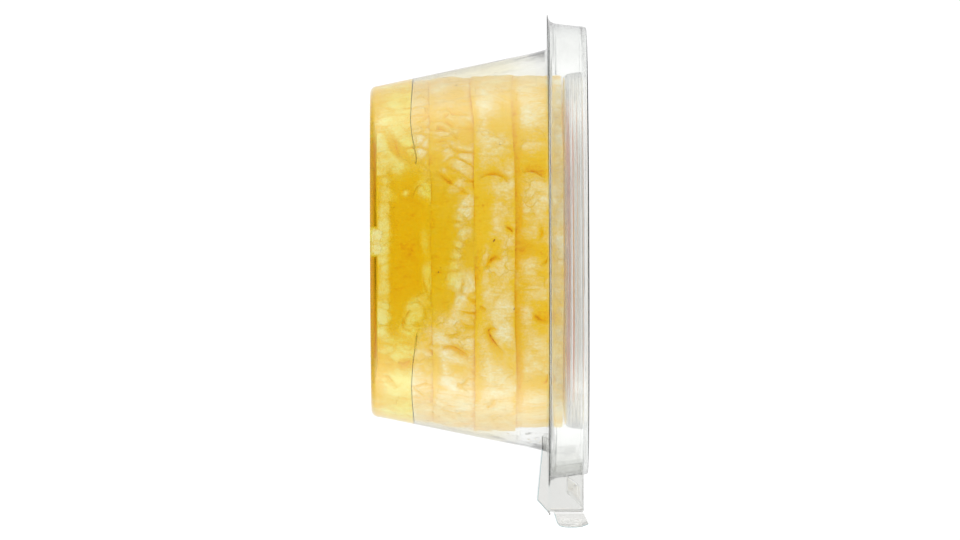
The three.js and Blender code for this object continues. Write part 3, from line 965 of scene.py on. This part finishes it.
def socket_folds(number, size, around):
    """Seeded folds and hollows at the eye sockets away from the front, in arc length and height."""
    random = np.random.default_rng(40 + number)
    height = size.top - size.bottom
    folds, hollows = [], []
    for k in range(SOCKETS):
        angle = math.radians(size.turn) + 2 * math.pi * k / SOCKETS
        if math.cos(angle - FRONT) > 0.15:
            continue
        u = (angle % (2 * math.pi)) / (2 * math.pi) * around
        z = size.bottom + height * (0.7 if k % 2 == 0 else 0.3)
        bend, lean, reach = random.uniform(-1.5, 1.5), random.uniform(-2, 2), random.uniform(2.2, 4.0)
        folds.append((((u - lean, z - reach), (u + bend, z), (u + lean, z + reach)),
                      random.choice([-1, 1]) * random.uniform(1.6, 3.6), random.uniform(1.5, 2.4), 0.9))
        folds.append((((u + 5 + lean, z + 1 - reach / 2), (u + 6, z + 1), (u + 5 - bend, z + 1 + reach / 2)),
                      random.choice([-1, 1]) * random.uniform(1.0, 2.0), random.uniform(0.6, 1.2), 0.6))
        hollows.append((u + random.uniform(-7, 7), z + random.uniform(-3, 3), random.uniform(1.5, 4),
                        random.uniform(1, 2.6), random.uniform(-40, 40), random.uniform(0.6, 1.6), 0.75))
    return folds, hollows


def slice_side(number, size, turn, z):
    """Depth below the free radius, and tone, over a slice's side."""
    around = 2 * math.pi * size.radius
    arc_length = (turn % (2 * np.pi)) / (2 * np.pi) * around
    facing = np.cos(turn - FRONT) > 0
    x = front_x(turn, size.radius)
    front = x + 1e3 * ~facing
    ball = around_axis(size.radius, turn, z)
    seed = 20 * number

    warp = CELL_WARP * noise(ball / 5, seed), CELL_WARP * noise(ball / 5 + 40, seed)
    first, second = cells(arc_length + warp[0], z + warp[1], around, seed + 1)
    patchy = ease_between(noise(ball / 6 + 9, seed), -0.5, 0.5)
    seams = patchy * (1 - ease_between(second - first, 0.0, 0.3))
    seams *= size.lumps * (1 - 0.7 * ease_between(np.abs(x), 38, 50))
    swell = layered(ball / 8, 3, seed + 3)
    strands = layered(ball * (1.0, 1.0, 0.22) / 0.9, 2, seed + 4)
    ragged = layered(ball / 3.6, 3, seed + 5)

    depth = size.sunk + SWELL_DEPTH * swell + SEAM_DEPTH * seams + STRAND_DEPTH * strands
    cream = size.cream + SWELL_TONE * swell + SEAM_TONE * seams + STRAND_TONE * strands
    cream -= GOLDER_SIDE * np.cos(turn)
    cream += 0.06 * falloff(x, 34, 2) * facing
    if number == 1:
        cream -= 0.12 * ease_between(z, 14, 11)
    if number == len(SLICES):
        cream -= 0.14 * ease_between(z, 49.5, 52.5)

    gold, sink, pale, rise, shaded_crease = (np.zeros(z.shape) for _ in range(5))
    folds, hollows = socket_folds(number, size, around)
    for u, some_folds, some_hollows in ((front, FOLDS[number - 1], HOLLOWS[number - 1]),
                                        (arc_length, folds, hollows)):
        for *where, deep, share in some_hollows:
            shape = patch_shape(u, z, *where, ragged)
            gold = either(gold, share * shape)
            sink = np.maximum(sink, HOLLOW_SINK * deep * shape)
        for points, fade, deep, share in some_folds:
            shape = fold_shape(u + 0.35 * ragged, z + 0.35 * warp[0], points, fade)
            gold = either(gold, share * np.minimum(1.5 * shape, 1))
            sink = np.maximum(sink, FOLD_SINK * deep * shape)
            # painted shade: a thin golder line at the fold's sharp lip, where the overhang shades it
            shaded_crease = np.maximum(shaded_crease, share * shape ** 5)
    for *where, swollen in LOBES[number - 1]:
        shape = patch_shape(front, z, *where, 0.8 * ragged, 0.75)
        pale = either(pale, (0.5 + 0.25 * swollen) * shape)
        rise = np.maximum(rise, swollen * shape)

    # painted shade: the flesh turns golder along the lower edge of each slice, where it lies in shadow, and
    # a little along the upper one
    above, below = z - size.bottom, size.top - z
    low = falloff(above, 1.6, 1.5) * ease_between(ragged + 0.8 * swell, -0.6, 0.3)
    joint_shade_gold = np.interp(x, *zip(*JOINT_SHADE_GOLD[number - 1])) * facing * falloff(above, 1.9, 2)
    low = np.maximum(low, joint_shade_gold * (0.9 + 0.4 * ragged))
    high = falloff(below, 0.7) * ease_between(ragged - 0.8 * swell, -0.35, 0.4)
    high *= number < len(SLICES)
    gold = either(gold, np.clip(0.95 * np.maximum(low, 0.8 * high), 0, 0.97)) * (1 - 0.85 * pale)

    depth += sink * (1 - 0.6 * pale) - LOBE_RISE * rise - SEAM_DEPTH * seams * gold
    soaked = SOAKED_TONE + 0.06 * (number > 2) + 0.05 * ragged
    tone = cream * (1 - gold) * (1 - 0.7 * pale) + gold * soaked
    joint = falloff(above, 0.3) * ease_between(swell + ragged, -0.7, 0.2)
    # the painted shade of the fold lips adds to the tone, and so does a darker joint line
    tone += (0.05 if number == 1 else 0.26) * shaded_crease + 0.24 * joint * (1 - 0.8 * gold)
    inward = np.clip(1 - np.minimum(above, below) / EDGE_ROUND, 0, None) ** 2
    rounding = EDGE_DEPTH * inward * (1 - 0.7 * gold)
    return np.maximum(depth, 0) + rounding, np.clip(tone, 0, DEEPEST_TONE)


def inner_radius(z, room):
    """Radius at a height that lies room inside the tub's plastic, round the corner at the foot too."""
    corner = wall_radius(BASE_CORNER) - BASE_CORNER
    reach = BASE_CORNER - SHEET - room
    bend = np.sqrt(np.clip(reach ** 2 - np.clip(BASE_CORNER - z, 0, None) ** 2, 0, None))
    return np.where(z < BASE_CORNER, corner + bend, wall_radius(z) - SHEET - room)


def droop(turn, r, share):
    """How far the rim of the lowest slice sags into the channel round the base."""
    x = np.abs(front_x(turn, 46)) + 60 * (np.cos(turn - FRONT) < 0)
    sag = 1.2 + 1.3 * ease_between(x, 31, 40)
    return sag * ease_between(r, 39.4, 41.6) * np.clip(1 - share / 0.35, 0, 1) ** 2


def slice_piece(number, size, material):
    """A slice, as one run round its section: side, top, core and bottom. Gives the radii of its side."""
    angle = turns(ANGLE_STEPS)
    height = size.top - size.bottom
    share = np.linspace(0, 1, SIDE_ROWS)
    z = size.bottom + share * height + 0 * angle
    turn = angle + 0 * z
    depth, tone = slice_side(number, size, turn, z)
    bulge = 1.5 * falloff(np.sin((turn - FRONT) / 2), 0.34, 2) * (number in (2, 3))
    room = wall_radius(z) - SHEET - WALL_ROOM
    side_r = np.minimum(size.radius + size.shift * np.cos(turn) + bulge, room) - depth

    core = CORE_RADIUS + 0.45 * np.sin(2 * angle + math.radians(25 * size.turn))
    outward = np.linspace(0, 1, FACE_ROWS + 2)[1:-1]
    top_r = core + outward[::-1] * (side_r[:, -1:] - core)
    bottom_r = core + outward * (side_r[:, :1] - core)
    core_r = core + 0.65 * np.abs(np.linspace(-1, 1, CORE_ROWS))
    r = np.concatenate([side_r, top_r, core_r, bottom_r], 1)
    share = np.concatenate([share, np.ones(FACE_ROWS), np.linspace(1, 0, CORE_ROWS), np.zeros(FACE_ROWS)])

    low, high = (joint_lift(joint, angle) for joint in (number - 1, number))
    heights = size.bottom + share * height + low + (high - low) * share
    if number == len(SLICES):
        heights += RIM_CURL * share ** 2 * ease_between(r, 30, 50)
    if number == 1:
        heights -= droop(angle, r, share)
        r = np.minimum(r, np.where(heights < BASE_CORNER, inner_radius(heights, CORNER_ROOM), 1e3))
    points = around_axis(r, angle, heights)

    inner_tone = 0.42 + 0.25 * layered(points[:, SIDE_ROWS:] / 6, 3, number)
    streaks = noise(around_axis(55, angle, 0), number + 3)
    tones = np.concatenate([tone, inner_tone + 0.14 * streaks], 1)
    piece = new_object(f"slice_{number}", points, grid_faces(ANGLE_STEPS, r.shape[1]), 48, tones)
    finish_piece(piece, material, "pineapple", f"pineapple_ring_{number}")
    return side_r


def loose_piece(material):
    """A torn, two-lobed scrap of flesh in the channel round the base, pressed on the wall."""
    low, high = (np.array(corner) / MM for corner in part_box("loose_piece"))
    centre = (low + high) / 2 - (AXIS_X / MM, 0.0, 0.0)
    half = (high - low) / 2 * (1.0, 2.3, 1.0)
    rows, columns = 60, 110
    polar = np.linspace(0, np.pi, rows)
    ball = around_axis(np.sin(polar), turns(columns), np.cos(polar))
    lump = 0.96 + 0.16 * layered(ball * 1.8, 2, 3)
    points = centre + 1.1 * half * np.sign(ball) * np.abs(ball) ** 0.55 * lump[..., None]
    lobes = 1.5 + 0.5 * np.cos((points[..., 0] - centre[0] + 2.4) * 1.25)
    points[..., 2] += np.clip(points[..., 2] - centre[2], 0, None) * (lobes - 1)
    points[..., 2] = np.maximum(points[..., 2], low[2])
    reach = inner_radius(points[..., 2], SCRAP_ROOM) / np.hypot(points[..., 0], points[..., 1])
    points[..., :2] *= np.minimum(reach, 1)[..., None]
    tone = 0.10 + 0.3 * layered(ball * 3, 3, 8) + 0.12 * (lobes < 1.3)
    piece = new_object("scrap", points, grid_faces(columns, rows, False), 80, tone)
    finish_piece(piece, material, "pineapple", "loose_piece")


# small brown seeds in the front, as (x, z, half length, half width, lean in degrees)
SEEDS = (
    (-2.9, 35.7, 0.62, 0.2, -32), (6.2, 19.7, 0.24, 0.17, 0), (4.9, 20.3, 0.16, 0.1, 20),
    (16.1, 41.3, 0.3, 0.14, -20), (-13.4, 7.1, 0.15, 0.12, 0), (-29.8, 37.5, 0.2, 0.09, 50),
)

DOME_COLUMNS = 14
DOME_ROWS = 5


def dome(spot, wide, tall, lean, outward, foot):
    """Rings of a low dome at spot (angle, radius, z), which stands outward or inward from a round wall."""
    angle, radius, z = spot
    c, s = math.cos(math.radians(lean)), math.sin(math.radians(lean))
    a = turns(DOME_COLUMNS)[:, 0]
    rings = []
    for row in range(DOME_ROWS + 1):
        rise = math.radians(90 * row / DOME_ROWS)
        stand = tall * math.sin(rise) if row else -foot
        along, up = wide[0] * np.cos(a) * math.cos(rise), wide[1] * np.sin(a) * math.cos(rise)
        turn = angle + (along * c - up * s) / radius
        rings.append(around_axis(radius + outward * stand, turn, z + along * s + up * c).tolist())
    return rings


def seeds_piece(material, surface):
    """Seeds half sunk in the flesh; surface gives its radius at an (angle, z)."""
    bodies = []
    for x, z, long, short, lean in SEEDS:
        angle = FRONT + math.asin(x / FRONT_RADIUS)
        bodies.append(dome((angle, surface(angle, z), z), (long, short), SEED_RISE, lean, 1, SEED_ROOT))
    finish_piece(lofts("seeds", bodies, 80), material, "pineapple")


DROP_TRIES = 260            # a drop that would touch another is left out
DROP_SPREAD = 0.2           # how far drops stray round from the two sides, in radians
DROP_HEIGHTS = (15, 49.5)
DROP_SIZES = (0.14, 0.5)
SEED_RISE = 0.14            # how far a seed stands out of the flesh, and how deep it goes
SEED_ROOT = 0.3


def drops_piece():
    """Drops of water on the inside of the wall, thickest at the two sides."""
    random = np.random.default_rng(11)
    bodies, taken = [], []
    for _ in range(DROP_TRIES):
        side, spread = random.choice([0.0, math.pi]), random.normal(0, DROP_SPREAD)
        z, size = random.uniform(*DROP_HEIGHTS), random.uniform(*DROP_SIZES) ** 1.2
        spot = side * 50 + spread * 50, z
        if any(math.hypot(spot[0] - a, spot[1] - b) < size + other + 0.1 for a, b, other in taken):
            continue
        taken.append((*spot, size))
        place = side + spread, wall_radius(z) - SHEET, z
        bodies.append(dome(place, (size, size * 1.1), 0.24 * size, 0, -1, 0.06))
    return lofts("drops", bodies, 80)


# ---- juice ----

FILM = 3.2                  # thickness of the climbing juice at its foot
MENISCUS = 0.14             # rise of the juice where it meets the wall, and how quickly it falls away
MENISCUS_REACH = 0.1
JUICE_GRIP = 0.25           # how far the juice reaches into the plastic, so that no air shows

# where the juice ends on the front of the wall, as (x, z): it climbs where the fruit presses on the plastic
SHORE = (
    (-52, 12.9), (-48, 12.5), (-44, 12.1), (-38, 11.9), (-34, 12.3), (-30.6, 13.3), (-25, 15.5),
    (-21.7, 19), (-20, 22.2), (-17, 25), (-12, 28.5), (-6, 30.5), (4, 31), (10, 29), (14.5, 25.5),
    (17.4, 22.3), (21.8, 17.5), (23.5, 15), (30, 12.9), (34, 12.3), (39, 11.9), (44, 12), (48, 12.4),
    (52, 12.8),
)


def shore(turn):
    """Height at which the juice ends on the wall, all round."""
    front = np.interp(front_x(turn), *zip(*SHORE))
    back = 12.1 + 0.35 * np.sin(5 * turn + 0.6) + 0.25 * np.sin(9 * turn)
    top = np.where(np.cos(turn - FRONT) > 0.02, front, back)
    for _ in range(3):
        top = (np.roll(top, 1, 0) + 2 * top + np.roll(top, -1, 0)) / 4
    return top


def juice_piece():
    """Juice to its level, reaching just into the wall so that no air shows, and climbing the front."""
    inset = SHEET - JUICE_GRIP
    turn = turns(SIDES)
    flat = np.ones_like(turn)
    foot_r, foot_z = np.array(tub_foot(inset)).T
    top = shore(turn)
    up = BASE_CORNER + (top - BASE_CORNER) * np.linspace(0.05, 1, 16)
    part = np.linspace(0, 1, 22)[1:] ** 2
    climb = np.clip(top - JUICE_LEVEL - 0.3, 0, None)
    film_z = top - climb * part ** 0.6 - MENISCUS * (1 - falloff(part * FILM, MENISCUS_REACH))
    film_z = np.concatenate([film_z, np.repeat(film_z[:, -1:], 3, axis=1)], 1)
    inward = np.array([*FILM * part, FILM + 2, FILM + 6, FILM + 20])
    film_r = wall_radius(film_z) - inset - inward
    r = np.concatenate([flat * foot_r, wall_radius(up) - inset, film_r, 0 * flat], 1)
    z = np.concatenate([flat * foot_z, up, film_z, (JUICE_LEVEL - MENISCUS) * flat], 1)
    return new_object("juice_body", around_axis(r, turn, z), grid_faces(SIDES, r.shape[1], False))


FILM_PATCHES = ((math.pi, 47.0), (0.0, 42.0))   # where a thin film of juice wets the wall, as (angle, top)
FILM_REACH = math.radians(34)
FILM_WET = 0.15             # its thickness, and how far it reaches into the plastic
FILM_GRIP = 0.06


def film_piece():
    """Thin patches of juice that cling to the two sides of the wall."""
    bodies = []
    share, up = np.meshgrid(np.linspace(-1, 1, 60), np.linspace(0, 1, 30), indexing="ij")
    for side, top in FILM_PATCHES:
        angle, z = side + FILM_REACH * share, JUICE_LEVEL + 1.2 + (top - JUICE_LEVEL) * up
        ragged = layered(np.stack([share * 6, up * 5, 0 * up + side], -1), 3, 5)
        inside = ease_between(1 - np.abs(share) + 0.15 * ragged, 0, 0.5)
        inside *= ease_between(1 - up + 0.12 * ragged, 0, 0.35)
        wall = wall_radius(z) - SHEET
        back = around_axis(wall + FILM_GRIP, angle, z)
        skin = around_axis(wall + FILM_GRIP / 2 - FILM_WET * inside, angle, z)
        bodies.append(np.concatenate([back, skin[:, ::-1]], 1).tolist())
    return lofts("juice_film", bodies)


# ---- scene ----

UPRIGHT_WAVES = (1.0, 1.0, 0.25)
LEVEL_WAVES = (0.12, 0.12, 9.0)
SHEET_TINT = (0.928, 0.925, 0.912, 1.0)
LID_TINT = (0.915, 0.915, 0.902, 1.0)
JUICE_TINT = (0.990, 0.958, 0.0, 1.0)
THIN_JUICE_TINT = (1.0, 0.94, 0.68, 1.0)


def build_object():
    clear = clear_sheet_material("clear_sheet", UPRIGHT_WAVES, 0.10, SHEET_TINT)
    # the lid's sheet carries the grey veil of painted shade
    lid_clear = clear_sheet_material("clear_sheet_lid", LEVEL_WAVES, 0.12, LID_TINT, with_shade_veil=True)
    water = liquid_material("water", 1.33, WHITE, 0.0, ripples=0.05)
    thin_juice = liquid_material("thin_juice", 1.33, THIN_JUICE_TINT, 2400.0, ripples=0.05)
    flesh = flesh_material()
    finish_piece(even_shading(tub_piece()), clear, "clear_sheet", "tub")
    finish_piece(even_shading(lid_piece()), lid_clear, "clear_sheet", "lid")
    finish_piece(even_shading(lip_piece()), clear, "clear_sheet", "tear_lip")
    finish_piece(label_piece(), label_material(), "label_print", "label")
    sides = [slice_piece(number, size, flesh) for number, size in enumerate(SLICES, 1)]

    def surface(angle, z):
        """A slice's radius at an angle and height."""
        number = max(i for i, size in enumerate(SLICES) if size.bottom <= z)
        share = (z - SLICES[number].bottom) / (SLICES[number].top - SLICES[number].bottom)
        column = round((angle % (2 * math.pi)) / (2 * math.pi) * ANGLE_STEPS) % ANGLE_STEPS
        return sides[number][column, round(share * (SIDE_ROWS - 1))]

    seeds_piece(seed_material(), surface)
    finish_piece(drops_piece(), water, "clear_sheet")
    finish_piece(film_piece(), thin_juice, "juice")
    loose_piece(flesh)
    finish_piece(juice_piece(), liquid_material("juice", 1.35, JUICE_TINT, 520.0), "juice", "juice")


CAMERA_DISTANCE = 4.0
EYE_LEVEL = 0.022
SENSOR = 36.0               # width of the camera's sensor, in millimetres
SCALE = 0.00029             # metres for each pixel of a 960 pixel wide picture
PICTURE_WIDTH = 960
AIM = Vector((-0.00020, 0.0, 0.03168))
LEAN = 0.004                # how far the upright tub leans in the picture


def build_camera():
    """A far camera in front of the tub, rolled a quarter turn so that up is to the right."""
    data = bpy.data.cameras.new("camera")
    data.sensor_width = SENSOR
    data.lens = SENSOR * CAMERA_DISTANCE / (PICTURE_WIDTH * SCALE)
    data.clip_end = 50
    camera = bpy.data.objects.new("camera", data)
    bpy.context.scene.collection.objects.link(camera)
    eye = Vector((AIM.x, -CAMERA_DISTANCE, EYE_LEVEL))
    back = (eye - AIM).normalized()
    right = Vector((LEAN, 0, 1))
    right = (right - right.dot(back) * back).normalized()
    up = back.cross(right)
    camera.matrix_world = Matrix.Translation(eye) @ Matrix((right, up, back)).transposed().to_4x4()
    bpy.context.scene.camera = camera


# what polished surfaces mirror, from the camera's side to the far side, as shares of the peak
STUDIO = ((0.0, 0.03), (0.22, 0.07), (0.42, 0.55), (0.60, 1.0), (0.78, 0.60), (1.0, 0.48))
STUDIO_PEAK = 1.9
STUDIO_TILT = 0.2           # how much brighter it is on the +X side
SKY = 1.1


def build_studio():
    """An even white sky for all but what polished surfaces mirror, which is a room with a dark front."""
    world = bpy.data.worlds.new("studio")
    bpy.context.scene.world = world
    graph = Graph(world)
    x, y, z = graph.along(graph.add("TexCoord").outputs["Generated"])
    room = graph.ramp(graph.math("MULTIPLY_ADD", y, 0.5, 0.5), [
        (place, (level, level, level, 1.0)) for place, level in STUDIO])
    room = graph.times(room, graph.math("MULTIPLY_ADD", x, STUDIO_TILT, STUDIO_PEAK))
    room = graph.times(room, graph.remap(z, -0.8, -0.15, 0.15, 1.0))
    level = graph.get("Mix", {0: only_mirrored(graph), 2: SKY, 3: room}, data_type="FLOAT")
    graph.finished(Surface=graph.get("Background", {"Color": WHITE, "Strength": level}))
    floor = floor_piece()


def floor_piece():
    """A wide white floor that polished surfaces don't mirror."""
    size = 20.0
    mesh = bpy.data.meshes.new("floor")
    corners = [(-size, -size, 0), (size, -size, 0), (size, size, 0), (-size, size, 0)]
    mesh.from_pydata(corners, [], [(0, 1, 2, 3)])
    floor = bpy.data.objects.new("floor", mesh)
    bpy.context.scene.collection.objects.link(floor)
    graph = new_material("floor")
    pale = graph.get("Emission", {"Color": WHITE, "Strength": SKY})
    clear = graph.get("BsdfTransparent")
    mesh.materials.append(graph.finished(Surface=graph.shaders(only_mirrored(graph), pale, clear)))
    return floor


def render_limits():
    scene = bpy.context.scene
    scene.view_settings.view_transform = "Standard"
    scene.cycles.max_bounces = 24
    scene.cycles.transmission_bounces = 24
    scene.cycles.transparent_max_bounces = 48
    scene.cycles.diffuse_bounces = 4
    scene.cycles.glossy_bounces = 6


build_object()
build_camera()
build_studio()
render_limits()
